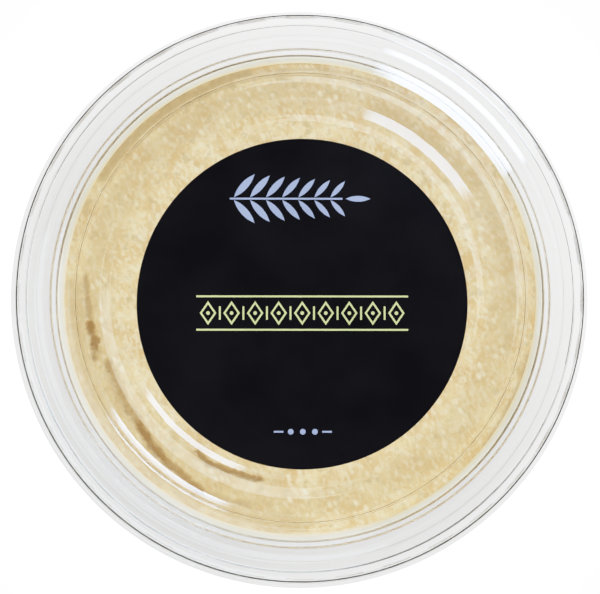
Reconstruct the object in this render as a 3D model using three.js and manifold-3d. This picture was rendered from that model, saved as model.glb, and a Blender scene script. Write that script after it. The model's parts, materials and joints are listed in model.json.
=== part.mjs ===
// A sealed round tub of hummus: a clear tub, the dip that fills it, a clear press-on lid and the
// round paper label on the lid. Millimetres, +Z up, origin at the centre of the base.
import * as THREE from "three";
import { mergeVertices } from "three/addons/utils/BufferGeometryUtils.js";
import Module from "manifold-3d";

const wasm = await Module();
wasm.setup();

// Driving dimensions
const LID_DIAMETER = 101; // over the hem of the lid, the widest place
const HEIGHT = 45.9; // floor to the crest of the lid
const WALL = 0.6; // wall of the tub
const LID_WALL = 0.4;
const BASE_RADIUS = 38.5; // outside of the tub wall where it starts above the foot
const WALL_TAPER = 0.092; // outward run of the tub wall for each millimetre of height
const FILL_HEIGHT = 40.4; // level of the dip at the wall
const LABEL_DIAMETER = 57.5;
const LABEL_THICKNESS = 0.15;
const LABEL_SHIFT = { x: 0.3, y: -1.1 }; // the label is stuck on a little off the middle
const LABEL_GAP = 0.05; // its adhesive, left open between the label and the lid
const CLEARANCE = 0.3; // between the dip and the tub
const TURN_STEPS = 56; // facets round each turned piece
const CONTENT_RINGS = 9; // rings of facets on the top of the dip

// The lid's crest is its highest line, and the lid is drawn from its middle outwards.
const LID_CREST_DROP = 2.05; // from the crest down to the middle panel
const LID_PANEL_HEIGHT = HEIGHT - LID_CREST_DROP;
const LID_STRETCHES = [
  { run: 30.65, rise: 0 }, // middle panel, which carries the label
  { run: 1.1, rise: 0.75 }, // inner bevel of the stacking ridge
  { run: 1.3, rise: 0 }, // top of the ridge
  { run: 1.8, rise: -1.2 }, // outer bevel of the ridge
  { run: 2.7, rise: 0 }, // groove for the foot of the tub stacked above
  { run: 0.85, rise: 0.5 }, // toe of the groove's outer wall
  { run: 0.45, rise: 1.75 }, // groove's outer wall
  { run: 0.3, rise: 0.25 }, // crest
  { run: 1.92, rise: -0.34 },
  { run: 2.2, rise: -0.77 }, // shoulder over the lip of the tub
  { run: 1.83, rise: -0.14 },
  { run: 1.25, rise: -0.45 },
  { run: 1.33, rise: -0.2 }, // rim over the flange
  { run: 1.0, rise: -0.25 },
  { run: 0.6, rise: -0.45 }, // corner of the skirt
  { run: 0.17, rise: -0.7 },
  { run: 0.3, rise: -4.7 }, // skirt
];
const HEM_THICKNESS = 0.35;

// Lugs inside the skirt, which keep the lid centred on the tub
const LUG_COUNT = 36;
const LUG = { depth: 0.5, width: 5.2, height: 0.8, drop: 5.8 }; // drop: from the crest to its middle
const LUG_REACH = 48.85; // radius of its inner face

// The tub, from the foot up
const FOOT = { inner: 35.0, outer: 36.8, bend: 1.6 }; // bend: height of the corner above the foot
const FOOT_CORNER = { radius: 38.0, height: 0.6 }; // the middle of that corner
const BASE_RECESS = { radius: 33.6, depth: 1.5 };
const LEDGE = { radius: 42.35, height: 41.3 }; // small step in the wall above the dip
const LIP = { outer: 43.35, height: 43.3 }; // thick lip above the ledge
const FLANGE = { outer: 47.75, height: 43.3, bead: 0.8 }; // bead: how far its edge reaches down

// The dip's surface: a flat dome with soft folds and ripples that fade towards the middle
const DOME = { height: 2.2, power: 6 };
const FOLD = { height: 0.3, turns: 2, sweep: 5 }; // sweep: radians from the middle to the wall
const RIPPLE = { height: 0.18, turns: 5, sweep: -9 };

const point = (radius, height) => new THREE.Vector2(radius, height);

// The points that a line passes, from its start and the run and rise of each stretch.
function walk(start, stretches) {
  const points = [start];
  for (const { run, rise } of stretches) {
    const last = points[points.length - 1];
    points.push(point(last.x + run, last.y + rise));
  }
  return points;
}

// The line moved sideways by a distance, to its right as it is walked, with mitred corners.
function offset(points, distance) {
  const sides = [];
  for (let i = 0; i + 1 < points.length; i++) {
    const along = points[i + 1].clone().sub(points[i]).normalize();
    sides.push(point(along.y, -along.x));
  }
  return points.map((at, i) => {
    const before = sides[Math.max(i - 1, 0)];
    const after = sides[Math.min(i, sides.length - 1)];
    const mitre = before.clone().add(after);
    mitre.multiplyScalar(distance / (1 + before.dot(after)));
    return at.clone().add(mitre);
  });
}

function material(color, roughness, opacity = 1) {
  return new THREE.MeshStandardMaterial({
    color,
    roughness,
    metalness: 0,
    opacity,
    transparent: opacity < 1,
  });
}

// LatheGeometry turns an outline that climbs away from the axis with its faces pointing out.
function turned(outline) {
  return new THREE.LatheGeometry(outline, TURN_STEPS).rotateX(Math.PI / 2);
}

function solidOf(geometry) {
  const bare = geometry.clone();
  bare.deleteAttribute("normal");
  bare.deleteAttribute("uv");
  const merged = mergeVertices(bare, 1e-3);
  return new wasm.Manifold(
    new wasm.Mesh({
      numProp: 3,
      vertProperties: merged.attributes.position.array,
      triVerts: new Uint32Array(merged.index.array),
    }),
  );
}

function geometryOf(solid) {
  const mesh = solid.getMesh();
  const geometry = new THREE.BufferGeometry();
  geometry.setAttribute("position", new THREE.BufferAttribute(mesh.vertProperties, 3));
  geometry.setIndex(new THREE.BufferAttribute(mesh.triVerts, 1));
  return geometry;
}

// The wall's outer radius at a height above the floor.
function wallRadius(height) {
  return BASE_RADIUS + WALL_TAPER * (height - FOOT.bend);
}

// A clear cup with a ring foot, a raised base, a ledge and a thick lip at the top of its wall, and
// a flat flange with a bead along its edge.
function tubGeometry() {
  const underLedge = LEDGE.height - WALL;
  const underFlange = FLANGE.height - WALL;
  const outside = [
    point(0, BASE_RECESS.depth),
    point(BASE_RECESS.radius, BASE_RECESS.depth),
    point(FOOT.inner, 0),
    point(FOOT.outer, 0),
    point(FOOT_CORNER.radius, FOOT_CORNER.height),
    point(BASE_RADIUS, FOOT.bend),
    point(wallRadius(underLedge), underLedge),
    point(LIP.outer, underLedge),
    point(LIP.outer, underFlange),
    point(FLANGE.outer - WALL, underFlange),
    point(FLANGE.outer - WALL, FLANGE.height - FLANGE.bead),
  ];
  const inside = [
    point(FLANGE.outer, FLANGE.height - FLANGE.bead),
    point(FLANGE.outer, FLANGE.height - WALL / 2),
    point(FLANGE.outer - WALL / 2, FLANGE.height),
    point(LEDGE.radius + WALL / 2, LIP.height),
    point(LEDGE.radius, LIP.height - WALL / 2),
    point(LEDGE.radius, LEDGE.height),
    point(wallRadius(LEDGE.height) - WALL, LEDGE.height),
    point(BASE_RADIUS - WALL, FOOT.bend + WALL),
    point(FOOT.outer - WALL / 2, WALL),
    point(FOOT.inner + WALL / 2, WALL),
    point(BASE_RECESS.radius + WALL / 2, BASE_RECESS.depth + WALL),
    point(0, BASE_RECESS.depth + WALL),
  ];
  return turned([...outside, ...inside]);
}

// The level of the dip at an angle and a share of the way from the middle to the wall.
function contentLevel(share, angle) {
  const wave = ({ height, turns, sweep }) => height * share * Math.sin(turns * angle + sweep * share);
  return FILL_HEIGHT + DOME.height * (1 - share ** DOME.power) + wave(FOLD) + wave(RIPPLE);
}

// The dip, one solid out to the wall of the tub and up to its own uneven top.
function contentGeometry() {
  const inset = WALL + CLEARANCE;
  const base = BASE_RECESS.depth + inset;
  const topRadius = wallRadius(FILL_HEIGHT) - inset;
  const outline = [
    point(0, base),
    point(BASE_RECESS.radius + inset, base),
    point(FOOT.inner + inset, inset),
    point(FOOT.outer - inset / 2, inset),
    point(BASE_RADIUS - inset, FOOT.bend + inset),
  ];
  for (let ring = 0; ring <= CONTENT_RINGS; ring++) {
    const radius = topRadius * (1 - ring / CONTENT_RINGS);
    outline.push(point(radius, FILL_HEIGHT));
  }
  const geometry = turned(outline);
  const position = geometry.getAttribute("position");
  for (let i = 0; i < position.count; i++) {
    if (position.getZ(i) < FILL_HEIGHT - WALL) continue;
    const share = Math.hypot(position.getX(i), position.getY(i)) / topRadius;
    const angle = Math.atan2(position.getY(i), position.getX(i));
    position.setZ(i, contentLevel(share, angle));
  }
  return geometry;
}

// A thin turned lid with a ring of lugs joined to the inside of its skirt.
function lidGeometry() {
  const top = walk(point(0, LID_PANEL_HEIGHT), LID_STRETCHES);
  const under = offset(top, LID_WALL);
  under[0].x = 0;
  const foot = top[top.length - 1];
  under.pop();
  const hem = [
    point(under[under.length - 1].x, foot.y - HEM_THICKNESS),
    point(LID_DIAMETER / 2, foot.y - HEM_THICKNESS),
    point(LID_DIAMETER / 2, foot.y),
  ];
  under.pop();
  let lid = solidOf(turned([...under, ...hem, ...top.reverse()]));
  for (let i = 0; i < LUG_COUNT; i++) {
    const lug = new THREE.BoxGeometry(LUG.depth, LUG.width, LUG.height);
    lug.translate(LUG_REACH + LUG.depth / 2, 0, HEIGHT - LUG.drop);
    lug.rotateZ((i * 2 * Math.PI) / LUG_COUNT);
    lid = lid.add(solidOf(lug));
  }
  return geometryOf(lid);
}

function labelGeometry() {
  const radius = LABEL_DIAMETER / 2;
  const outline = [
    point(0, 0),
    point(radius, 0),
    point(radius, LABEL_THICKNESS),
    point(0, LABEL_THICKNESS),
  ];
  return turned(outline);
}

function piece(name, geometry, finish) {
  const mesh = new THREE.Mesh(geometry, finish);
  mesh.name = name;
  return mesh;
}

const clear = material(0xf2f4f2, 0.08, 0.3);
const pot = new THREE.Group();
const label = piece("label", labelGeometry(), material(0x16151b, 0.5));
label.position.set(LABEL_SHIFT.x, LABEL_SHIFT.y, LID_PANEL_HEIGHT + LABEL_GAP);
pot.add(
  piece("tub", tubGeometry(), clear),
  piece("hummus", contentGeometry(), material(0xe4d2a4, 0.75)),
  piece("lid", lidGeometry(), clear),
  label,
);

export default pot;
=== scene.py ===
# A sealed round tub of hummus: a clear tub, the hummus in it, a clear press-on lid and a round
# black label, on a pale floor under soft studio lamps. The tub's sizes are in millimetres, times MM,
# and the studio's in metres.
import bmesh
import bpy
import json
import math
from collections import namedtuple
from mathutils import Matrix, Vector, noise

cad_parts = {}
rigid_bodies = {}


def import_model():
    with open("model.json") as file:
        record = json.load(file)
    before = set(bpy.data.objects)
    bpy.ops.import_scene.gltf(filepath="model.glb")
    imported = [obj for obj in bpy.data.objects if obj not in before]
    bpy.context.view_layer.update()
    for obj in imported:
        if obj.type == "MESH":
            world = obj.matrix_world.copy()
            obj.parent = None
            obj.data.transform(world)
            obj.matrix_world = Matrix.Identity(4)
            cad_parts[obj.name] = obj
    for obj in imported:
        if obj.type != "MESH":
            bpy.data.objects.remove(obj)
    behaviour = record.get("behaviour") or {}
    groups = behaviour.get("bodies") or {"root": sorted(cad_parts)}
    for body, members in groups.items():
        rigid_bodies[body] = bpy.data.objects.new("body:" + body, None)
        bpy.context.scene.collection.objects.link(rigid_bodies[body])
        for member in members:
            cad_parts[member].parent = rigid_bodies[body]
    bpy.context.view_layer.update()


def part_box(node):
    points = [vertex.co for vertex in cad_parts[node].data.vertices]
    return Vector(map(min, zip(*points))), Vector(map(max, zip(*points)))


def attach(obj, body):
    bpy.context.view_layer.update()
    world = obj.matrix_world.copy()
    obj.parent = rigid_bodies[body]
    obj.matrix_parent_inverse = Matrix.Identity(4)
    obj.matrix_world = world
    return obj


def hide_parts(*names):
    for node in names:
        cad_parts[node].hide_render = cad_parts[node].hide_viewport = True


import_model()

MM = 0.001
lid_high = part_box("lid")[1]
label_low, label_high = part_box("label")

# Lid: its outline from the middle of the panel to the hem, as (run, rise) of each stretch
LID_CREST_DROP = 2.05
LID_PANEL = lid_high.z / MM - LID_CREST_DROP
LID_WALL = 0.25
LID_OUTLINE = [
    (30.85, 0),  # middle panel, which carries the label
    (0.95, 0.62),  # inner bevel of the stacking ridge
    (1.35, 0),  # top of the ridge
    (1.7, -1.0),  # outer bevel of the ridge
    (2.7, 0),  # groove for the foot of the tub stacked above
    (1.1, 0.58),  # toe of the groove's outer wall
    (0.3, 1.35),  # groove's outer wall
    (0.28, 0.38),
    (0.25, 0.1),  # crest
    (0.6, -0.1),
    (0.97, -0.2),
    (1.1, -0.4),  # shoulder over the lip of the tub
    (1.1, -0.41),
    (1.83, -0.14),  # flat over the lip
    (1.05, -0.4),  # step down to the rim
    (1.25, -0.06),  # rim over the flange, with a small step in it
    (0.3, -0.1),
    (1.25, -0.1),
    (0.43, -0.5),  # corner of the skirt
    (0.14, -0.75),
    (0.1, -2.4),  # skirt
    (0.1, -2.39),
    (0.8, 0),  # hem
]
LID_STEPS = 288
LID_CORNERS = (0.2, 0.08)  # rounding of the wide bends, and then of the narrow ones

# Lugs in a ring inside the skirt, which keep the lid centred
LUGS = 36
LUG_DEPTH = 0.48
LUG_LENGTH = 5.2
LUG_HEIGHT = 0.9
LUG_ROUNDING = 0.05
LUG_RADIUS = 49.0
LUG_LEVEL = 42.1

# Tub: its closed outline, from under the middle of the base, up the outside and down the inside
TUB_BASE = 1.5
TUB_OUTLINE = [
    (33.6, 0),  # under the raised base
    (1.4, -1.5),
    (1.8, 0),  # ring foot
    (1.2, 0.6),
    (0.5, 1.0),
    (3.1, 39.1),  # outside of the wall
    (0.85, 0.1),  # under the ledge
    (0.03, 1.1),
    (0.97, 0.05),  # under the lip
    (0.03, 1.0),
    (4.05, 0),  # under the flange
    (0, -0.5),  # bead along the flange's edge
    (0.22, 0),
    (0, 0.85),
    (-1.91, 0),  # top of the flange, with a low ring on it
    (-0.1, 0.08),
    (-0.93, 0),
    (-0.1, -0.08),
    (-0.7, 0),
    (-0.1, -0.06),
    (-0.73, 0),
    (-0.03, -0.95),
    (-1.02, -0.04),  # lip
    (-0.03, -1.08),
    (-0.87, -0.07),  # ledge
    (-3.26, -39.0),  # inside of the wall
    (-0.35, -1.0),
    (-1.0, -0.5),
    (-1.75, 0),  # inside of the foot
    (-1.4, 1.5),
]
TUB_STEPS = 256
TUB_CORNERS = (0.15, 0.05)

# Hummus: its sides reach a little way into the wall of the tub
HUMMUS_BASE = 1.98
FILL = 40.7
FILL_MARGIN = 0.5  # a point counts as on the top down to this far under it
HUMMUS_RADIUS = 41.52
HUMMUS_STEPS = 1100
HUMMUS_HIDDEN_RADIUS = 27.0  # the part under the label, which isn't seen
HUMMUS_RINGS = 76
DOME = 2.2
DOME_POWER = 9
SIDE_OUTLINE = [
    (33.45, 0),  # on the raised base
    (1.4, -1.5),
    (1.85, 0),  # in the foot
    (1.06, 0.54),
    (0.36, 1.08),
]

# Smear of hummus on the ledge of the tub: its outline, which ends where it starts
SMEAR_START = (41.1, 40.95)
SMEAR_OUTLINE = [
    (1.0, 0.2),
    (0, 0.12),
    (-0.7, 0),
    (-0.3, -0.12),
    (0, -0.2),
]
# Between these radii the film turns pale: painted light for the light that comes through the tub's wall
SMEAR_THICK = 41.25
SMEAR_PALE_RADIUS = 41.65
SMEAR_STEPS = 256

# Furrows left by the spoon: half width, depth, how brown each one is, and the points it passes. The
# brown is partly a stain and partly painted shade in the crevice
FURROWS = [
    (0.85, 0.4, 0.6, [(-37.3, 3.7), (-36.9, -0.1), (-36.4, -4.5)]),
    (1.15, 0.7, 1.0, [(-36.6, -4.5), (-36.3, -5.9), (-35.7, -7.7), (-35.4, -8.8)]),
    (0.9, 0.5, 0.7, [(-35.5, -8.6), (-35.9, -10.3)]),
    (1.3, 0.4, 0.75, [(-33.3, -11.4), (-31.5, -15.8), (-29.9, -19.1), (-27.9, -22.1)]),
    (1.1, 0.7, 1.0, [(-27.9, -22.1), (-25.9, -25.5), (-23.9, -27.7)]),
    (1.15, 0.5, 0.9, [(-23.9, -27.7), (-21.9, -29.5), (-19.8, -31.5), (-17.2, -33.5)]),
    (0.8, 0.5, 0.9, [(-17.8, -26.7), (-16.2, -28.5), (-12.2, -30.1), (-6.9, -31.5)]),
    (0.9, 0.3, 0.4, [(-16.2, -33.7), (-12.0, -35.2), (-9.0, -35.6)]),
]
# Flat patches where the surface is darker, partly a stain and partly painted shade near the wall and
# under the lid's groove: half width, how brown, radius, and the azimuths in degrees between which each
# one lies
PATCHES = [
    (1.9, 0.55, 40.3, 104, 148),
    (0.9, 0.3, 39.7, 60, 105),
    (2.0, 0.32, 35.2, 40, 68),
    (0.9, 0.32, 41.1, 322, 346),
    (2.4, 0.2, 36.9, -12, 36),
    (2.0, 0.12, 36.8, 95, 175),
    (2.6, 0.14, 36.6, 176, 262),
    (2.6, 0.4, 39.4, 178, 270),
    (2.4, 0.18, 31.8, 228, 262),
]
PATCH_STEPS = 6
# The edge of a furrow or patch is ragged: how far out it lies, and (amount, scale) of each raggedness
MARK_REACH = 1.15
RAGGEDNESS = [(0.35, 700), (0.35, 2300)]

# Lumps of the hummus surface, from the spoon's sweeps down to its grain: size and height
LUMPS = [(9.0, 0.4), (2.4, 0.18), (1.1, 0.12), (0.55, 0.07)]
# Noises in the colour of the hummus. A share, here and below, says from where to where a noise
# rises, and from how much to how much of the other colour that gives. The grain is drawn out the
# way the spoon went.
MOTTLE = dict(scale=260, detail=3, roughness=0.6)
MOTTLE_SHARE = (0.38, 0.62, 0, 1)
GRAIN = dict(scale=1300, detail=2, roughness=0.6)
GRAIN_SHARE = (0.45, 0.64, 0, 0.6)
CRUMBS = dict(scale=520, detail=2.5, roughness=0.65)
CRUMB_SHARE = (0.53, 0.68, 0, 0.7)
# Noise that breaks up the stain and painted shade of the furrows and patches
STAIN_AND_SHADE_BREAKS = dict(scale=900, detail=2)
STAIN_AND_SHADE_BREAK_SHARE = (0.3, 0.6, 0.85, 1.1)
GOLDEN_SHARE = (0, 0.5, 0, 0.9)
BROWN_SHARE = (0.5, 1.0, 0, 0.9)
STROKE_AZIMUTH = math.radians(118)
STROKE_STRETCH = 1.6
# Pale specks: how many cells there are along a metre, from where to where in its cell a speck
# fades out, and which cells have one
SPECK_SCALE = 850
SPECK_CORE = 0.12
SPECK_REACH = 0.46
SPECK_SHARE = (0.5, 0.85, 0, 0.75)
# Painted shade: the top is a little darker between these radii, in a ring under the lid's groove
RING_SHADE_START = 31.5
RING_SHADE_FULL = 33.8
RING_SHADE_FADE = 37.0
RING_SHADE_END = 39.0
RING_SHADE = 0.33
# Painted shade: the side is darker towards the ledge, as if in the rim's shadow: heights at which the
# shade starts and is full, and at which the side ends and the top starts
SIDE_SHADE_START = 31.0
SIDE_SHADE_FULL = 39.2
SIDE_SHADE = 0.75
SIDE_TOP = 40.1
TOP_START = 40.5

LABEL_STEPS = 256
LABEL_ROUNDING = 0.04

# Label print: where each ornament is centred, and its sizes, some as shares of another
SPRIG_MIDDLE = (0.2, 17.2)
SPRIG_LENGTH = 25.0
SPRIG_LEAVES = 7
SPRIG_TAPER = 0.35
FIRST_LEAF = 0.5
TIP_LEAF = 0.8
LEAF_LENGTH = 5.4
LEAF_WIDTH = 1.5
LEAF_FULLNESS = 1.5
LEAF_ROUNDING = 0.4
LEAF_LEAN = math.radians(48)
ROW_MIDDLE = (0.3, -2.7)
ROW_LENGTH = 36.8
ROW_HEIGHT = 5.8
ROW_LOZENGES = 9
LOZENGE_WIDTH = 0.7
LOZENGE_HEIGHT = 0.72
UPRIGHT_HEIGHT = 0.4
DOTS_MIDDLE = (0.4, -23.3)
DOT_PITCH = 2.1
DOT_RADIUS = 0.5
DOT_STEPS = 32
DASH_LENGTH = 0.8
RULE = 0.32
INK_THICKNESS = 0.02
INK_SUNK = 0.01
INK_WORN = 0.88

# Colours as scene-linear values
TAN = (0.735, 0.495, 0.225, 1)
CREAM = (0.915, 0.71, 0.39, 1)
FLECK = (0.96, 0.85, 0.60, 1)
GOLD = (0.57, 0.415, 0.20, 1)
BROWN = (0.38, 0.215, 0.055, 1)
# Painted shade for the side of the hummus under the ledge
SHADED = (0.10, 0.108, 0.07, 1)
LABEL_BLACK = (0.0011, 0.0010, 0.0015, 1)
LABEL_FADED = (0.0018, 0.0017, 0.0024, 1)
LILAC = (0.125, 0.152, 0.235, 1)
LIME = (0.23, 0.257, 0.125, 1)
SMEARED_THICK = (0.90, 0.78, 0.52, 1)
SMEARED = (0.80, 0.75, 0.60, 1)
SMEARED_PALE = (0.87, 0.84, 0.72, 1)
KEY_COLOR = (0.58, 0.73, 1.0, 1)
HAZE_COLOR = (0.72, 0.86, 1.0, 1)
CLEAR = (0.99, 0.99, 0.985, 1)
SHADE_THROUGH_PLASTIC = (0.985, 0.988, 0.985, 1)

# Surfaces: noise scales are for a metre, and the distance of a bump is in millimetres. The paper's
# roughness follows its grain, as a share does.
PLASTIC_IOR = 1.49
PLASTIC_ROUGHNESS = 0.02
MOULD_RINGS = 2200
MOULD_BUMP = dict(strength=1, distance=0.04)
SCUFFS = dict(scale=2600, detail=3, roughness=0.7)
SCUFF_SHARE = (0.55, 0.75, 0, 1)
LID_MARKS = {"Wave Size": 160, "Rings": 0.6, "Scuffs": 0.03}
TUB_MARKS = {"Wave Size": 110, "Rings": 0.1, "Scuffs": 0.03}
HUMMUS_ROUGHNESS = 0.5
HUMMUS_BUMP = dict(strength=0.4, distance=0.12)
SMEAR_PATCHES = dict(scale=60, detail=3, roughness=0.6)
SMEAR_PATCH_SHARE = (0.38, 0.62, 0, 1)
SMEAR_GRAIN = dict(scale=900, detail=2)
SMEAR_ROUGHNESS = 0.4
SMEAR_BUMP = dict(strength=0.3, distance=0.1)
PAPER_GRAIN = 2400
PAPER_CLOUD = dict(scale=90, detail=2)
PAPER_CLOUD_SHARE = (0.35, 0.65, 0, 1)
PAPER_ROUGHNESS = (0.3, 0.7, 0.34, 0.5)
PAPER_BUMP = dict(strength=0.15, distance=0.02)
LABEL_SPECULAR = 0.02
INK_SPECULAR = 0.1

# Camera, as the photograph's own frame and angle
CAMERA_DISTANCE = 0.8
CAMERA_TILT = 3.0
CAMERA_SIDE = 244
PIXEL = 0.175
PICTURE_WIDTH = 600
PICTURE_MIDDLE = (-0.3, -2.2)
FOCUS_HEIGHT = 37.9
SENSOR = 36
CLIP_START = 0.05
CLIP_END = 20

# Tone curve of the studio camera: radiance as a share of TONE_WHITE against the value shown
TONE_WHITE = 2.0
TONE_POINTS = [
    (0.1, 0.2),
    (0.25, 0.49),
    (0.35, 0.65),
    (0.45, 0.765),
    (0.55, 0.845),
    (0.7, 0.92),
    (0.85, 0.97),
]

# Soft light from above, from four sides and, for the underside, from below
SOFT_SIZE = 1.0
SOFT_DISTANCE = 1.0
TOP_AZIMUTH = 52
TOP_ELEVATION = 78
TOP_ENERGY = 20.4
SIDE_AZIMUTHS = (7, 97, 187, 277)
SIDE_ELEVATION = 18
SIDE_ENERGY = 17
UNDER_ENERGY = 14

# Panels that only show in reflections: a window with a bright part, the haze round it, and a wide
# pale wall on the other side. Each fades out over a share of its width at both ends.
PANELS = {
    "key_panel": dict(azimuth=52, elevation=44, distance=0.8, width=0.42, height=0.62, radiance=9,
                      fade=0.14, color=KEY_COLOR, upright=True),
    "key_bright": dict(azimuth=52, elevation=48, distance=0.76, width=0.36, height=0.2, radiance=24,
                       fade=0.14, color=KEY_COLOR, upright=True),
    "key_glow": dict(azimuth=52, elevation=42, distance=0.9, width=1.2, height=0.7, radiance=0.8,
                     fade=0.2, color=HAZE_COLOR, upright=False),
    "left_panel": dict(azimuth=225, elevation=46, distance=0.9, width=1.5, height=0.95, radiance=2.05,
                       fade=0.06, color=HAZE_COLOR, upright=False),
}

# In what the plastic reflects and bends, the floor glows under the tub like a light table, is dark
# in a ring round it, and is bright again farther out. The world is dim. That draws the tub's edges.
FLOOR_SIZE = 6
FLOOR_SEEN = 1.8
FLOOR_GLOW = 0.34
FLOOR_GLOW_REACH = 0.057
FLOOR_DARK_REACH = 0.074
FLOOR_LIGHT_START = 0.15
FLOOR_LIGHT_FULL = 0.19
FLOOR_LIGHT = 1.4
FLOOR_COLOR = (0.4, 0.4, 0.4, 1)
FLOOR_DARK = (0.03, 0.03, 0.03, 1)
WORLD_SEEN = 2.0
WORLD_DIM = 0.09

BOUNCES = 16
CLEAR_BOUNCES = 24

MERGE = 0.002 * MM


# Modelling by hand

def deselect():
    bpy.ops.object.select_all(action="DESELECT")


def activate(piece):
    deselect()
    piece.select_set(True)
    bpy.context.view_layer.objects.active = piece


def draw_outline(name, start, stretches):
    """One vertex, extruded along the stretches in the plane y = 0. Leaves edit mode on."""
    deselect()
    bpy.ops.mesh.primitive_plane_add(size=MM)
    piece = bpy.context.object
    piece.name = piece.data.name = name
    bpy.ops.object.mode_set(mode="EDIT")
    bpy.ops.mesh.select_all(action="SELECT")
    bpy.ops.mesh.merge(type="CENTER")
    bpy.ops.transform.translate(value=(start[0] * MM, 0, start[1] * MM))
    for run, rise in stretches:
        bpy.ops.mesh.extrude_region_move(TRANSFORM_OT_translate={"value": (run * MM, 0, rise * MM)})
    return piece


def round_corners(piece, radius, segments=3):
    """Rounds the corners of the outline between stretches that are long enough for that radius."""
    room = 2.1 * radius * MM
    mesh = bmesh.from_edit_mesh(piece.data)
    for vertex in mesh.verts:
        lengths = [edge.calc_length() for edge in vertex.link_edges]
        vertex.select = len(lengths) == 2 and min(lengths) > room
    mesh.select_flush_mode()
    bmesh.update_edit_mesh(piece.data)
    bpy.ops.mesh.bevel(offset=radius * MM, offset_type="OFFSET", segments=segments,
                       affect="VERTICES", clamp_overlap=True)


def turn(steps):
    """Spins the outline round the Z axis and closes its seam and pole."""
    bpy.ops.mesh.select_all(action="SELECT")
    bpy.ops.mesh.spin(steps=steps, angle=math.tau, center=(0, 0, 0), axis=(0, 0, 1))
    bpy.ops.mesh.select_all(action="SELECT")
    bpy.ops.mesh.remove_doubles(threshold=MERGE)
    bpy.ops.mesh.normals_make_consistent(inside=False)


def face_up(piece):
    """Turns the shell's faces so that those in its middle look up."""
    mesh = bmesh.from_edit_mesh(piece.data)
    middle = min(mesh.faces, key=lambda face: face.calc_center_median().xy.length)
    if middle.normal.z < 0:
        bpy.ops.mesh.select_all(action="SELECT")
        bpy.ops.mesh.flip_normals()


def apply_modifier(piece, kind, **settings):
    bpy.context.view_layer.objects.active = piece
    bpy.ops.object.modifier_add(type=kind)
    modifier = piece.modifiers[-1]
    for name, value in settings.items():
        setattr(modifier, name, value)
    bpy.ops.object.modifier_apply(modifier=modifier.name)


def thicken(piece, thickness, side):
    """Gives a shell its wall: side is -1 behind its faces and 1 in front of them."""
    apply_modifier(piece, "SOLIDIFY", thickness=thickness * MM, offset=side,
                   use_even_offset=True, use_quality_normals=True)


def finish_piece(piece, material, node=None, smooth=30):
    bpy.ops.object.mode_set(mode="OBJECT")
    activate(piece)
    bpy.ops.object.shade_smooth_by_angle(angle=math.radians(smooth))
    piece.data.materials.clear()
    piece.data.materials.append(material)
    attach(piece, "root")
    if node:
        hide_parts(node)


# Lid and tub

def make_lid(material):
    piece = draw_outline("clear_lid", (0, LID_PANEL), LID_OUTLINE)
    for radius in LID_CORNERS:
        round_corners(piece, radius)
    turn(LID_STEPS)
    face_up(piece)
    bpy.ops.object.mode_set(mode="OBJECT")
    thicken(piece, LID_WALL, -1)
    finish_piece(piece, material, "lid")


def make_lugs(material):
    deselect()
    bpy.ops.mesh.primitive_cube_add(size=MM)
    piece = bpy.context.object
    piece.name = piece.data.name = "lid_lugs"
    bpy.ops.object.mode_set(mode="EDIT")
    bpy.ops.transform.resize(value=(LUG_DEPTH, LUG_LENGTH, LUG_HEIGHT), center_override=(0, 0, 0))
    bpy.ops.mesh.bevel(offset=LUG_ROUNDING * MM, segments=3, affect="EDGES")
    bpy.ops.transform.translate(value=(LUG_RADIUS * MM, 0, LUG_LEVEL * MM))
    for lug in range(1, LUGS):
        bpy.ops.mesh.duplicate()
        bpy.ops.transform.rotate(value=math.tau / LUGS, orient_axis="Z", center_override=(0, 0, 0))
    finish_piece(piece, material)


def make_tub(material):
    piece = draw_outline("clear_tub", (0, TUB_BASE), TUB_OUTLINE)
    close_outline_on_axis(piece)
    for radius in TUB_CORNERS:
        round_corners(piece, radius)
    turn(TUB_STEPS)
    finish_piece(piece, material, "tub")


def close_outline_on_axis(piece):
    """Runs the outline's last stretch level to the axis."""
    mesh = bmesh.from_edit_mesh(piece.data)
    last = next(vertex for vertex in mesh.verts if vertex.select)
    bpy.ops.mesh.extrude_region_move(TRANSFORM_OT_translate={"value": (-last.co.x, 0, 0)})


# Hummus

Mark = namedtuple("Mark", "width depth stain path")


def arc(radius, start, stop):
    """Points on an arc about the middle of the tub, between two azimuths in degrees."""
    turns = [math.radians(start + (stop - start) * step / PATCH_STEPS) for step in range(PATCH_STEPS + 1)]
    return [(radius * math.cos(turned), radius * math.sin(turned)) for turned in turns]


def all_marks():
    """The furrows, and the patches, which have no depth."""
    marks = [Mark(*furrow) for furrow in FURROWS]
    for width, stain, radius, start, stop in PATCHES:
        marks.append(Mark(width, 0, stain, arc(radius, start, stop)))
    return marks


def nearness(point, mark):
    """1 on the mark's path, falling smoothly to 0 at its width, with a ragged edge."""
    width = mark.width * MM
    nearest = math.inf
    for start, stop in zip(mark.path[:-1], mark.path[1:]):
        a = Vector(start) * MM
        b = Vector(stop) * MM
        along = b - a
        share = max(0, min(1, (point - a).dot(along) / along.length_squared))
        nearest = min(nearest, (point - a - along * share).length)
    if nearest > 2 * width:
        return 0
    ragged = sum(amount * noise.noise(point.to_3d() * scale) for amount, scale in RAGGEDNESS)
    share = max(0, min(1, MARK_REACH - nearest / width + ragged))
    return share * share * (3 - 2 * share)


def on_top(co):
    return co.z > (FILL - FILL_MARGIN) * MM


def weight_group(piece, name, weight_at):
    group = piece.vertex_groups.new(name=name)
    for vertex in piece.data.vertices:
        if on_top(vertex.co):
            weight = weight_at(vertex)
            if weight > 0:
                group.add([vertex.index], weight, "REPLACE")
    return name


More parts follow.
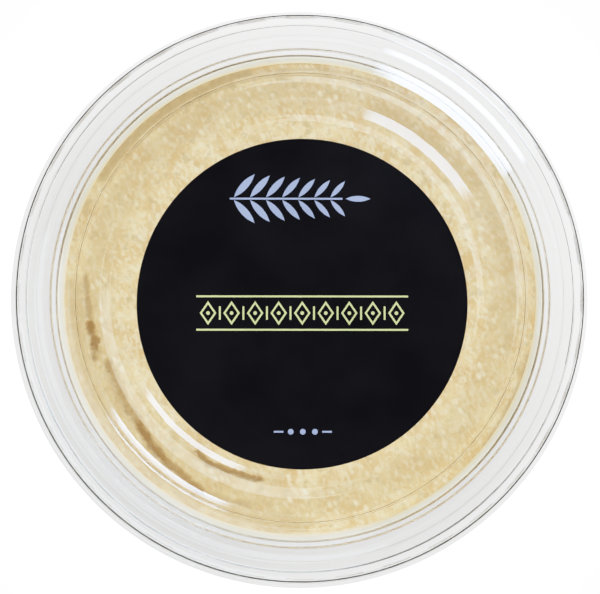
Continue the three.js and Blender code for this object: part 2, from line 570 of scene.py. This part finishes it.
def near_mark(vertices, mark):
    """The vertices in the box round a mark's path."""
    reach = 2 * mark.width
    left = (min(x for x, y in mark.path) - reach) * MM
    right = (max(x for x, y in mark.path) + reach) * MM
    front = (min(y for x, y in mark.path) - reach) * MM
    back = (max(y for x, y in mark.path) + reach) * MM
    return [vertex for vertex in vertices if left < vertex.co.x < right and front < vertex.co.y < back]


def measure_marks(piece):
    """How deep and how brown the marks make each point of the top."""
    depth = [0.0] * len(piece.data.vertices)
    stain = [0.0] * len(piece.data.vertices)
    top = [vertex for vertex in piece.data.vertices if on_top(vertex.co)]
    for mark in all_marks():
        for vertex in near_mark(top, mark):
            share = nearness(vertex.co.xy, mark)
            depth[vertex.index] = max(depth[vertex.index], share * mark.depth)
            stain[vertex.index] = max(stain[vertex.index], share * mark.stain)
    return depth, stain


def raise_group(piece, group, height):
    apply_modifier(piece, "DISPLACE", strength=height * MM, mid_level=0, direction="Z", vertex_group=group)


def roughen(piece, group, size, height):
    texture = bpy.data.textures.new("lumps", "CLOUDS")
    texture.noise_scale = size * MM
    texture.noise_depth = 1
    apply_modifier(piece, "DISPLACE", texture=texture, strength=height * MM, mid_level=0.5, direction="Z",
                   vertex_group=group, texture_coords="LOCAL")


def domed(co):
    """A point's share of the dome's height: 1 in the middle and 0 at the wall."""
    return 1 - min(1, co.xy.length / (HUMMUS_RADIUS * MM)) ** DOME_POWER


def make_hummus(material):
    reach = sum(run for run, rise in SIDE_OUTLINE)
    level = HUMMUS_BASE + sum(rise for run, rise in SIDE_OUTLINE)
    outline = SIDE_OUTLINE + [
        (HUMMUS_RADIUS - reach, FILL - level),
        (HUMMUS_HIDDEN_RADIUS - HUMMUS_RADIUS, 0),
        (-HUMMUS_HIDDEN_RADIUS, 0),
    ]
    piece = draw_outline("hummus_fill", (0, HUMMUS_BASE), outline)
    mesh = bmesh.from_edit_mesh(piece.data)
    for edge in mesh.edges:
        middle = (edge.verts[0].co + edge.verts[1].co) / 2
        edge.select = on_top(middle) and middle.x > HUMMUS_HIDDEN_RADIUS * MM
    bmesh.update_edit_mesh(piece.data)
    bpy.ops.mesh.subdivide(number_cuts=HUMMUS_RINGS)
    turn(HUMMUS_STEPS)
    bpy.ops.object.mode_set(mode="OBJECT")
    depth, stain = measure_marks(piece)
    top = weight_group(piece, "top", lambda vertex: 1.0)
    dome = weight_group(piece, "dome", lambda vertex: domed(vertex.co))
    furrows = weight_group(piece, "furrows", lambda vertex: depth[vertex.index])
    attribute = piece.data.attributes.new("stain", "FLOAT", "POINT")
    attribute.data.foreach_set("value", stain)
    raise_group(piece, furrows, -1.0)
    raise_group(piece, dome, DOME)
    for size, height in LUMPS:
        roughen(piece, top, size, height)
    finish_piece(piece, material, "hummus", smooth=60)


def make_smear(material):
    """The film of hummus on the ledge just above its level."""
    piece = draw_outline("hummus_smear", SMEAR_START, SMEAR_OUTLINE)
    turn(SMEAR_STEPS)
    finish_piece(piece, material)


# Label and its print

def make_label(material):
    middle = (label_low + label_high) / 2
    radius = (label_high.x - label_low.x) / 2
    deselect()
    bpy.ops.mesh.primitive_cylinder_add(vertices=LABEL_STEPS, radius=radius, location=middle,
                                        depth=label_high.z - label_low.z)
    piece = bpy.context.object
    piece.name = piece.data.name = "round_label"
    bpy.ops.object.transform_apply(location=True, rotation=True, scale=True)
    apply_modifier(piece, "BEVEL", width=LABEL_ROUNDING * MM, segments=2, limit_method="ANGLE")
    piece.visible_shadow = False
    finish_piece(piece, material, "label")


def start_print(name):
    """An empty mesh in edit mode, for flat shapes of one ink."""
    deselect()
    bpy.ops.mesh.primitive_plane_add(size=MM)
    piece = bpy.context.object
    piece.name = piece.data.name = name
    bpy.ops.object.mode_set(mode="EDIT")
    bpy.ops.mesh.delete(type="VERT")
    return piece


def place_shape(middle, lean=0.0):
    """Leans the shape counter-clockwise, which is a minus for this operator, and sets it in its place."""
    bpy.ops.transform.rotate(value=-lean, orient_axis="Z", center_override=(0, 0, 0))
    bpy.ops.transform.translate(value=(middle[0] * MM, middle[1] * MM, label_high.z - INK_SUNK * MM))


def print_bar(middle, length, width):
    bpy.ops.mesh.primitive_plane_add(size=MM)
    bpy.ops.transform.resize(value=(length, width, 1), center_override=(0, 0, 0))
    place_shape(middle)


def print_dot(middle, radius):
    bpy.ops.mesh.primitive_circle_add(vertices=DOT_STEPS, radius=radius * MM, fill_type="NGON")
    place_shape(middle)


def print_lozenge(middle, length, height):
    """A lozenge drawn as a line."""
    bpy.ops.mesh.primitive_circle_add(vertices=4, radius=MM / 2, fill_type="NGON")
    bpy.ops.transform.resize(value=(length, height, 1), center_override=(0, 0, 0))
    place_shape(middle)
    bpy.ops.mesh.inset(thickness=RULE * MM)
    bpy.ops.mesh.delete(type="ONLY_FACE")


def print_leaf(piece, middle, length, width, lean):
    """A lozenge with its two side corners rounded off."""
    bpy.ops.mesh.primitive_circle_add(vertices=4, radius=MM / 2, fill_type="NGON")
    bpy.ops.transform.resize(value=(length, width * LEAF_FULLNESS, 1), center_override=(0, 0, 0))
    mesh = bmesh.from_edit_mesh(piece.data)
    for vertex in mesh.verts:
        vertex.select = vertex.select and abs(vertex.co.x) < length * MM / 4
    mesh.select_flush_mode()
    bmesh.update_edit_mesh(piece.data)
    bpy.ops.mesh.bevel(offset=length * LEAF_ROUNDING * MM, segments=6, affect="VERTICES",
                       clamp_overlap=True)
    bpy.ops.mesh.select_linked()
    place_shape(middle, lean)


def finish_print(piece, material):
    """Gives the flat shapes of one ink their thickness."""
    bpy.ops.mesh.select_all(action="SELECT")
    bpy.ops.mesh.extrude_region_move(TRANSFORM_OT_translate={"value": (0, 0, INK_THICKNESS * MM)})
    bpy.ops.mesh.select_all(action="SELECT")
    bpy.ops.mesh.normals_make_consistent(inside=False)
    piece.visible_shadow = False
    finish_piece(piece, material)


def print_sprig(piece):
    """A stem with pairs of leaves that get smaller towards its tip."""
    x, y = SPRIG_MIDDLE
    stem = SPRIG_LENGTH - LEAF_LENGTH
    tip = x + SPRIG_LENGTH / 2 - LEAF_LENGTH / 2
    print_bar((x - LEAF_LENGTH / 2, y), stem, RULE)
    print_leaf(piece, (tip, y), LEAF_LENGTH * TIP_LEAF, LEAF_WIDTH * TIP_LEAF, 0)
    for pair in range(SPRIG_LEAVES):
        share = pair / SPRIG_LEAVES
        size = 1 - SPRIG_TAPER * share
        foot = x - SPRIG_LENGTH / 2 + FIRST_LEAF + stem * share
        for side in (-1, 1):
            out = LEAF_LENGTH * size / 2 + RULE
            middle = (foot + out * math.cos(LEAF_LEAN), y + side * out * math.sin(LEAF_LEAN))
            print_leaf(piece, middle, LEAF_LENGTH * size, LEAF_WIDTH * size, side * LEAF_LEAN)


def print_row():
    """Lozenges with short uprights between them, under and over a rule."""
    x, y = ROW_MIDDLE
    pitch = ROW_LENGTH / ROW_LOZENGES
    for number in range(ROW_LOZENGES):
        across = x + (number - (ROW_LOZENGES - 1) / 2) * pitch
        print_lozenge((across, y), pitch * LOZENGE_WIDTH, ROW_HEIGHT * LOZENGE_HEIGHT)
        print_dot((across, y), RULE)
        if number:
            print_bar((across - pitch / 2, y), RULE, ROW_HEIGHT * UPRIGHT_HEIGHT)
    for side in (-1, 1):
        print_bar((x, y + side * ROW_HEIGHT / 2), ROW_LENGTH, RULE)


def print_dots():
    x, y = DOTS_MIDDLE
    for number in (-1, 0, 1):
        print_dot((x + number * DOT_PITCH, y), DOT_RADIUS)
    for side in (-1, 1):
        print_bar((x + side * DOT_PITCH * 2, y), DOT_PITCH * DASH_LENGTH, RULE)


def make_print(lilac, lime):
    piece = start_print("lilac_print")
    print_sprig(piece)
    print_dots()
    finish_print(piece, lilac)
    piece = start_print("lime_print")
    print_row()
    finish_print(piece, lime)


# Materials

def new_material(name):
    material = bpy.data.materials.new(name)
    material.use_nodes = True
    tree = material.node_tree
    return material, tree, tree.nodes["Principled BSDF"], tree.nodes["Material Output"]


def add_node(tree, kind, **settings):
    node = tree.nodes.new(kind)
    for name, value in settings.items():
        if name in node.bl_rna.properties:
            setattr(node, name, value)
        else:
            node.inputs[name].default_value = value
    return node


def feed(tree, socket, value):
    """Sets a socket to a plain value, or links another socket to it."""
    if isinstance(value, bpy.types.NodeSocket):
        tree.links.new(value, socket)
    else:
        socket.default_value = value


def add_noise(tree, vector, scale, detail=2.0, roughness=0.5):
    node = add_node(tree, "ShaderNodeTexNoise", Detail=detail, Roughness=roughness)
    feed(tree, node.inputs["Vector"], vector)
    feed(tree, node.inputs["Scale"], scale)
    return node.outputs["Fac"]


def remap(tree, value, low, high, to_low, to_high):
    """Turns the range from low to high into the range from to_low to to_high, and stops at its ends."""
    node = add_node(tree, "ShaderNodeMapRange")
    for name, end in zip(("From Min", "From Max", "To Min", "To Max"), (low, high, to_low, to_high)):
        feed(tree, node.inputs[name], end)
    feed(tree, node.inputs["Value"], value)
    return node.outputs[0]


def calculate(tree, operation, *values):
    node = add_node(tree, "ShaderNodeMath", operation=operation)
    for socket, value in zip(node.inputs, values):
        feed(tree, socket, value)
    return node.outputs[0]


def multiply(tree, first, second):
    return calculate(tree, "MULTIPLY", first, second)


def blend_colors(tree, share, first, second):
    """Mixes two colours. Of the mix node's sockets, 6 and 7 are the colours that it takes."""
    node = add_node(tree, "ShaderNodeMix", data_type="RGBA")
    for number, value in ((0, share), (6, first), (7, second)):
        feed(tree, node.inputs[number], value)
    return node.outputs[2]


def add_bump(tree, shader, height, strength, distance):
    bump = add_node(tree, "ShaderNodeBump", Strength=strength, Distance=distance * MM)
    tree.links.new(height, bump.inputs["Height"])
    tree.links.new(bump.outputs[0], shader.inputs["Normal"])


def new_group(name, inputs, outputs):
    """A shader node group with float inputs, beside its vector, and float outputs."""
    group = bpy.data.node_groups.new(name, "ShaderNodeTree")
    group.interface.new_socket(name="Vector", in_out="INPUT", socket_type="NodeSocketVector")
    for label, value in inputs.items():
        socket = group.interface.new_socket(name=label, in_out="INPUT", socket_type="NodeSocketFloat")
        socket.default_value = value
    for label in outputs:
        group.interface.new_socket(name=label, in_out="OUTPUT", socket_type="NodeSocketFloat")
    return group, add_node(group, "NodeGroupInput"), add_node(group, "NodeGroupOutput")


def radius_from_axis(tree, vector):
    """The distance of a point from the middle of the tub, seen from above."""
    flat = add_node(tree, "ShaderNodeVectorMath", operation="MULTIPLY")
    flat.inputs[1].default_value = (1, 1, 0)
    tree.links.new(vector, flat.inputs[0])
    length = add_node(tree, "ShaderNodeVectorMath", operation="LENGTH")
    tree.links.new(flat.outputs[0], length.inputs[0])
    return length.outputs["Value"]


def moulding_group():
    """Waves left in clear plastic by its mould, the mould's turning rings, and fine scuffs."""
    group, given, result = new_group("moulding_marks", {"Wave Size": 160.0, "Rings": 0.5, "Scuffs": 0.02},
                                     ["Roughness", "Height"])
    place = given.outputs["Vector"]
    waves = add_noise(group, place, given.outputs["Wave Size"], detail=1)
    rings = add_node(group, "ShaderNodeTexNoise", noise_dimensions="1D", Scale=MOULD_RINGS, Detail=1)
    feed(group, rings.inputs["W"], radius_from_axis(group, place))
    height = calculate(group, "MULTIPLY_ADD", rings.outputs["Fac"], given.outputs["Rings"], waves)
    scuffs = remap(group, add_noise(group, place, **SCUFFS), *SCUFF_SHARE)
    rough = calculate(group, "MULTIPLY_ADD", scuffs, given.outputs["Scuffs"], PLASTIC_ROUGHNESS)
    feed(group, result.inputs["Roughness"], rough)
    feed(group, result.inputs["Height"], height)
    return group


def paper_group():
    """The grain of coated paper, also under its inks."""
    group, given, result = new_group("paper_grain", {"Grain Size": 1800.0},
                                     ["Mottle", "Height", "Roughness"])
    place = given.outputs["Vector"]
    grain = add_noise(group, place, given.outputs["Grain Size"], detail=3, roughness=0.65)
    cloud = add_noise(group, place, **PAPER_CLOUD)
    feed(group, result.inputs["Mottle"], remap(group, cloud, *PAPER_CLOUD_SHARE))
    feed(group, result.inputs["Height"], grain)
    feed(group, result.inputs["Roughness"], remap(group, grain, *PAPER_ROUGHNESS))
    return group


def object_place(tree):
    return add_node(tree, "ShaderNodeTexCoord").outputs["Object"]


def place_group(tree, group, values):
    node = add_node(tree, "ShaderNodeGroup", node_tree=group)
    for name, value in values.items():
        feed(tree, node.inputs[name], value)
    feed(tree, node.inputs["Vector"], object_place(tree))
    return node


def clear_plastic(name, group, marks):
    """Clear plastic. Lamps shine straight through it, so that what lies under it is lit."""
    material, tree, shader, output = new_material(name)
    shader.inputs["Base Color"].default_value = CLEAR
    shader.inputs["Transmission Weight"].default_value = 1
    shader.inputs["IOR"].default_value = PLASTIC_IOR
    moulded = place_group(tree, group, marks)
    tree.links.new(moulded.outputs["Roughness"], shader.inputs["Roughness"])
    add_bump(tree, shader, moulded.outputs["Height"], **MOULD_BUMP)
    path = add_node(tree, "ShaderNodeLightPath")
    through = add_node(tree, "ShaderNodeBsdfTransparent", Color=SHADE_THROUGH_PLASTIC)
    mix = add_node(tree, "ShaderNodeMixShader")
    tree.links.new(path.outputs["Is Shadow Ray"], mix.inputs[0])
    tree.links.new(shader.outputs[0], mix.inputs[1])
    tree.links.new(through.outputs[0], mix.inputs[2])
    tree.links.new(mix.outputs[0], output.inputs["Surface"])
    return material


def specks(tree, vector):
    """Soft pale specks, in some of the cells of a cell pattern."""
    cells = add_node(tree, "ShaderNodeTexVoronoi", Scale=SPECK_SCALE)
    feed(tree, cells.inputs["Vector"], vector)
    dot = remap(tree, cells.outputs["Distance"], SPECK_CORE, SPECK_REACH, 1, 0)
    chance = add_node(tree, "ShaderNodeSeparateColor")
    feed(tree, chance.inputs[0], cells.outputs["Color"])
    chosen = remap(tree, chance.outputs[0], *SPECK_SHARE)
    return multiply(tree, dot, chosen)


def mottled_color(tree, place, grain):
    """The cream and tan of the hummus, with its pale grain and golden crumbs."""
    mottle = remap(tree, add_noise(tree, place, **MOTTLE), *MOTTLE_SHARE)
    color = blend_colors(tree, mottle, TAN, CREAM)
    color = blend_colors(tree, remap(tree, grain, *GRAIN_SHARE), color, FLECK)
    crumbs = remap(tree, add_noise(tree, place, **CRUMBS), *CRUMB_SHARE)
    return blend_colors(tree, crumbs, color, GOLD)


def height_above_floor(tree, place):
    split = add_node(tree, "ShaderNodeSeparateXYZ")
    feed(tree, split.inputs[0], place)
    return split.outputs["Z"]


def painted_ring_shade(tree, place):
    """How much painted shade darkens the top, in a ring round the middle under the lid's groove."""
    radius = radius_from_axis(tree, place)
    rising = remap(tree, radius, RING_SHADE_START * MM, RING_SHADE_FULL * MM, 0, RING_SHADE)
    falling = remap(tree, radius, RING_SHADE_FADE * MM, RING_SHADE_END * MM, 1, 0)
    top = remap(tree, height_above_floor(tree, place), SIDE_TOP * MM, TOP_START * MM, 0, 1)
    return multiply(tree, multiply(tree, rising, falling), top)


def side_shade(tree, place):
    """How much painted shade darkens the side, more so towards the ledge."""
    height = height_above_floor(tree, place)
    rising = remap(tree, height, SIDE_SHADE_START * MM, SIDE_SHADE_FULL * MM, 0, SIDE_SHADE)
    side = remap(tree, height, SIDE_TOP * MM, TOP_START * MM, 1, 0)
    return multiply(tree, rising, side)


def stained_and_shaded_color(tree, place, color):
    """The colour turned golden, and then brown, by the furrows and patches: partly stain, partly painted
    shade.
    """
    stain = add_node(tree, "ShaderNodeAttribute", attribute_name="stain").outputs["Fac"]
    breaks = remap(tree, add_noise(tree, place, **STAIN_AND_SHADE_BREAKS), *STAIN_AND_SHADE_BREAK_SHARE)
    stain = multiply(tree, stain, breaks)
    color = blend_colors(tree, remap(tree, stain, *GOLDEN_SHARE), color, GOLD)
    return blend_colors(tree, remap(tree, stain, *BROWN_SHARE), color, BROWN)


def hummus_material():
    material, tree, shader, output = new_material("hummus")
    place = object_place(tree)
    mapping = add_node(tree, "ShaderNodeMapping", vector_type="TEXTURE", Rotation=(0, 0, STROKE_AZIMUTH),
                       Scale=(STROKE_STRETCH, 1, 1))
    feed(tree, mapping.inputs["Vector"], place)
    strokes = mapping.outputs[0]
    grain = add_noise(tree, strokes, **GRAIN)
    color = mottled_color(tree, place, grain)
    # Painted shade: the top turns golden in a ring under the lid's groove
    color = blend_colors(tree, painted_ring_shade(tree, place), color, GOLD)
    color = blend_colors(tree, specks(tree, strokes), color, FLECK)
    # Painted shade on the side of the hummus, towards the ledge
    color = blend_colors(tree, side_shade(tree, place), color, SHADED)
    # Stains and painted shade of the furrows and patches
    color = stained_and_shaded_color(tree, place, color)
    tree.links.new(color, shader.inputs["Base Color"])
    add_bump(tree, shader, grain, **HUMMUS_BUMP)
    shader.inputs["Roughness"].default_value = HUMMUS_ROUGHNESS
    return material


def smear_material():
    """Like the hummus at its inner edge, and paler farther out: painted light for the light that comes
    through the tub's wall.
    """
    material, tree, shader, output = new_material("hummus_smear")
    place = object_place(tree)
    patches = remap(tree, add_noise(tree, place, **SMEAR_PATCHES), *SMEAR_PATCH_SHARE)
    film = blend_colors(tree, patches, SMEARED, SMEARED_PALE)
    # Painted light: the film turns pale towards its outer edge
    paler_share = remap(tree, radius_from_axis(tree, place), SMEAR_THICK * MM, SMEAR_PALE_RADIUS * MM, 0, 1)
    tree.links.new(blend_colors(tree, paler_share, SMEARED_THICK, film), shader.inputs["Base Color"])
    add_bump(tree, shader, add_noise(tree, place, **SMEAR_GRAIN), **SMEAR_BUMP)
    shader.inputs["Roughness"].default_value = SMEAR_ROUGHNESS
    return material


def paper_material(name, group, first, second, specular):
    """Coated paper whose colour drifts between two."""
    material, tree, shader, output = new_material(name)
    grain = place_group(tree, group, {"Grain Size": PAPER_GRAIN})
    color = blend_colors(tree, grain.outputs["Mottle"], first, second)
    tree.links.new(color, shader.inputs["Base Color"])
    tree.links.new(grain.outputs["Roughness"], shader.inputs["Roughness"])
    add_bump(tree, shader, grain.outputs["Height"], **PAPER_BUMP)
    shader.inputs["Specular IOR Level"].default_value = specular
    return material


def label_material(group):
    return paper_material("label_black", group, LABEL_BLACK, LABEL_FADED, LABEL_SPECULAR)


def ink_material(name, group, color):
    worn = tuple(share * INK_WORN for share in color[:3]) + (1,)
    return paper_material(name, group, worn, color, INK_SPECULAR)


# Studio

def make_camera():
    data = bpy.data.cameras.new("camera")
    camera = bpy.data.objects.new("camera", data)
    bpy.context.scene.collection.objects.link(camera)
    middle = Vector((PICTURE_MIDDLE[0], PICTURE_MIDDLE[1], 0)) * PIXEL * MM
    tilt = math.radians(CAMERA_TILT)
    side = math.radians(CAMERA_SIDE)
    back = Vector((math.sin(tilt) * math.cos(side), math.sin(tilt) * math.sin(side), math.cos(tilt)))
    up = Vector((0, 1, 0))
    up = (up - back * up.dot(back)).normalized()
    camera.rotation_euler = Matrix((up.cross(back), up, back)).transposed().to_euler()
    camera.location = Vector((0, 0, FOCUS_HEIGHT * MM)) - middle + back * CAMERA_DISTANCE
    data.sensor_width = SENSOR
    data.lens = SENSOR * CAMERA_DISTANCE / (PICTURE_WIDTH * PIXEL * MM)
    data.clip_start = CLIP_START
    data.clip_end = CLIP_END
    bpy.context.scene.camera = camera


def place_from(azimuth, elevation, distance):
    turned = math.radians(azimuth)
    raised = math.radians(elevation)
    return Vector((math.cos(turned) * math.cos(raised), math.sin(turned) * math.cos(raised),
                   math.sin(raised))) * distance


def make_soft_light(name, azimuth, elevation, energy):
    """A large lamp that faces the tub, and which itself isn't reflected."""
    data = bpy.data.lights.new(name, "AREA")
    data.shape = "SQUARE"
    data.size = SOFT_SIZE
    data.energy = energy
    lamp = bpy.data.objects.new(name, data)
    bpy.context.scene.collection.objects.link(lamp)
    lamp.location = place_from(azimuth, elevation, SOFT_DISTANCE)
    lamp.rotation_euler = lamp.location.to_track_quat("Z", "Y").to_euler()
    lamp.visible_camera = False
    lamp.visible_glossy = False
    lamp.visible_transmission = False


def make_panel(name, azimuth, elevation, distance, width, height, radiance, fade, color, upright):
    """A glowing panel that only shows in reflections, and fades out towards both of its ends."""
    location = place_from(azimuth, elevation, distance)
    facing = Vector((location.x, location.y, 0)) if upright else location
    deselect()
    bpy.ops.mesh.primitive_plane_add(size=1, location=location)
    panel = bpy.context.object
    panel.name = name
    panel.rotation_euler = facing.to_track_quat("Z", "Y").to_euler()
    panel.scale = (width, height, 1)
    material, tree, shader, output = new_material(name)
    shader.inputs["Base Color"].default_value = (0, 0, 0, 1)
    shader.inputs["Emission Color"].default_value = color
    split = add_node(tree, "ShaderNodeSeparateXYZ")
    feed(tree, split.inputs[0], object_place(tree))
    across = calculate(tree, "ABSOLUTE", split.outputs["X"])
    glow = remap(tree, across, 0.5 - fade, 0.5, radiance, 0)
    tree.links.new(glow, shader.inputs["Emission Strength"])
    panel.data.materials.append(material)
    panel.visible_camera = False
    panel.visible_diffuse = False
    panel.visible_shadow = False


def seen_or_not(tree, seen, otherwise):
    """A value for what the camera sees straight, and another for all other rays."""
    path = add_node(tree, "ShaderNodeLightPath")
    return remap(tree, path.outputs["Is Camera Ray"], 0, 1, otherwise, seen)


def make_floor():
    """A pale floor, clear from below so that the underside of the tub can be looked at."""
    deselect()
    bpy.ops.mesh.primitive_plane_add(size=FLOOR_SIZE)
    floor = bpy.context.object
    floor.name = "floor"
    material, tree, shader, output = new_material("pale_floor")
    shader.inputs["Roughness"].default_value = 1
    shader.inputs["Specular IOR Level"].default_value = 0
    shader.inputs["Emission Color"].default_value = (1, 1, 1, 1)
    distance = radius_from_axis(tree, object_place(tree))
    far = remap(tree, distance, FLOOR_GLOW_REACH, FLOOR_DARK_REACH, 0, 1)
    tree.links.new(blend_colors(tree, far, FLOOR_COLOR, FLOOR_DARK), shader.inputs["Base Color"])
    near_glow = remap(tree, far, 0, 1, FLOOR_GLOW, 0)
    far_light = remap(tree, distance, FLOOR_LIGHT_START, FLOOR_LIGHT_FULL, 0, FLOOR_LIGHT)
    glow = calculate(tree, "ADD", near_glow, far_light)
    tree.links.new(seen_or_not(tree, FLOOR_SEEN, glow), shader.inputs["Emission Strength"])
    below = add_node(tree, "ShaderNodeMixShader")
    tree.links.new(add_node(tree, "ShaderNodeNewGeometry").outputs["Backfacing"], below.inputs[0])
    tree.links.new(shader.outputs[0], below.inputs[1])
    tree.links.new(add_node(tree, "ShaderNodeBsdfTransparent").outputs[0], below.inputs[2])
    tree.links.new(below.outputs[0], output.inputs["Surface"])
    floor.data.materials.append(material)
    floor.visible_shadow = False


def make_world():
    world = bpy.data.worlds.new("studio")
    bpy.context.scene.world = world
    world.use_nodes = True
    tree = world.node_tree
    background = tree.nodes["Background"]
    background.inputs["Color"].default_value = (1, 1, 1, 1)
    tree.links.new(seen_or_not(tree, WORLD_SEEN, WORLD_DIM), background.inputs["Strength"])


def set_tone():
    """Plain colours up to the middle tones, and a soft shoulder in the highlights."""
    view = bpy.context.scene.view_settings
    view.view_transform = "Standard"
    view.use_curve_mapping = True
    mapping = view.curve_mapping
    mapping.white_level = (TONE_WHITE, TONE_WHITE, TONE_WHITE)
    for share, shown in TONE_POINTS:
        mapping.curves[3].points.new(share, shown)
    mapping.update()


def set_light_paths():
    """Enough bounces for the many walls of plastic that a ray goes through."""
    cycles = bpy.context.scene.cycles
    cycles.transparent_max_bounces = CLEAR_BOUNCES
    cycles.max_bounces = BOUNCES
    cycles.transmission_bounces = BOUNCES
    cycles.caustics_reflective = False
    cycles.caustics_refractive = False


def make_studio():
    make_camera()
    for name, settings in PANELS.items():
        make_panel(name, **settings)
    make_soft_light("top_light", TOP_AZIMUTH, TOP_ELEVATION, TOP_ENERGY)
    for azimuth in SIDE_AZIMUTHS:
        make_soft_light("side_light", azimuth, SIDE_ELEVATION, SIDE_ENERGY)
    make_soft_light("under_light", 0, -90, UNDER_ENERGY)
    make_floor()
    make_world()
    set_tone()
    set_light_paths()


moulding = moulding_group()
paper = paper_group()
lid_plastic = clear_plastic("lid_plastic", moulding, LID_MARKS)
tub_plastic = clear_plastic("tub_plastic", moulding, TUB_MARKS)
make_tub(tub_plastic)
make_hummus(hummus_material())
make_smear(smear_material())
make_lid(lid_plastic)
make_lugs(lid_plastic)
make_label(label_material(paper))
make_print(ink_material("lilac_ink", paper, LILAC), ink_material("lime_ink", paper, LIME))
make_studio()
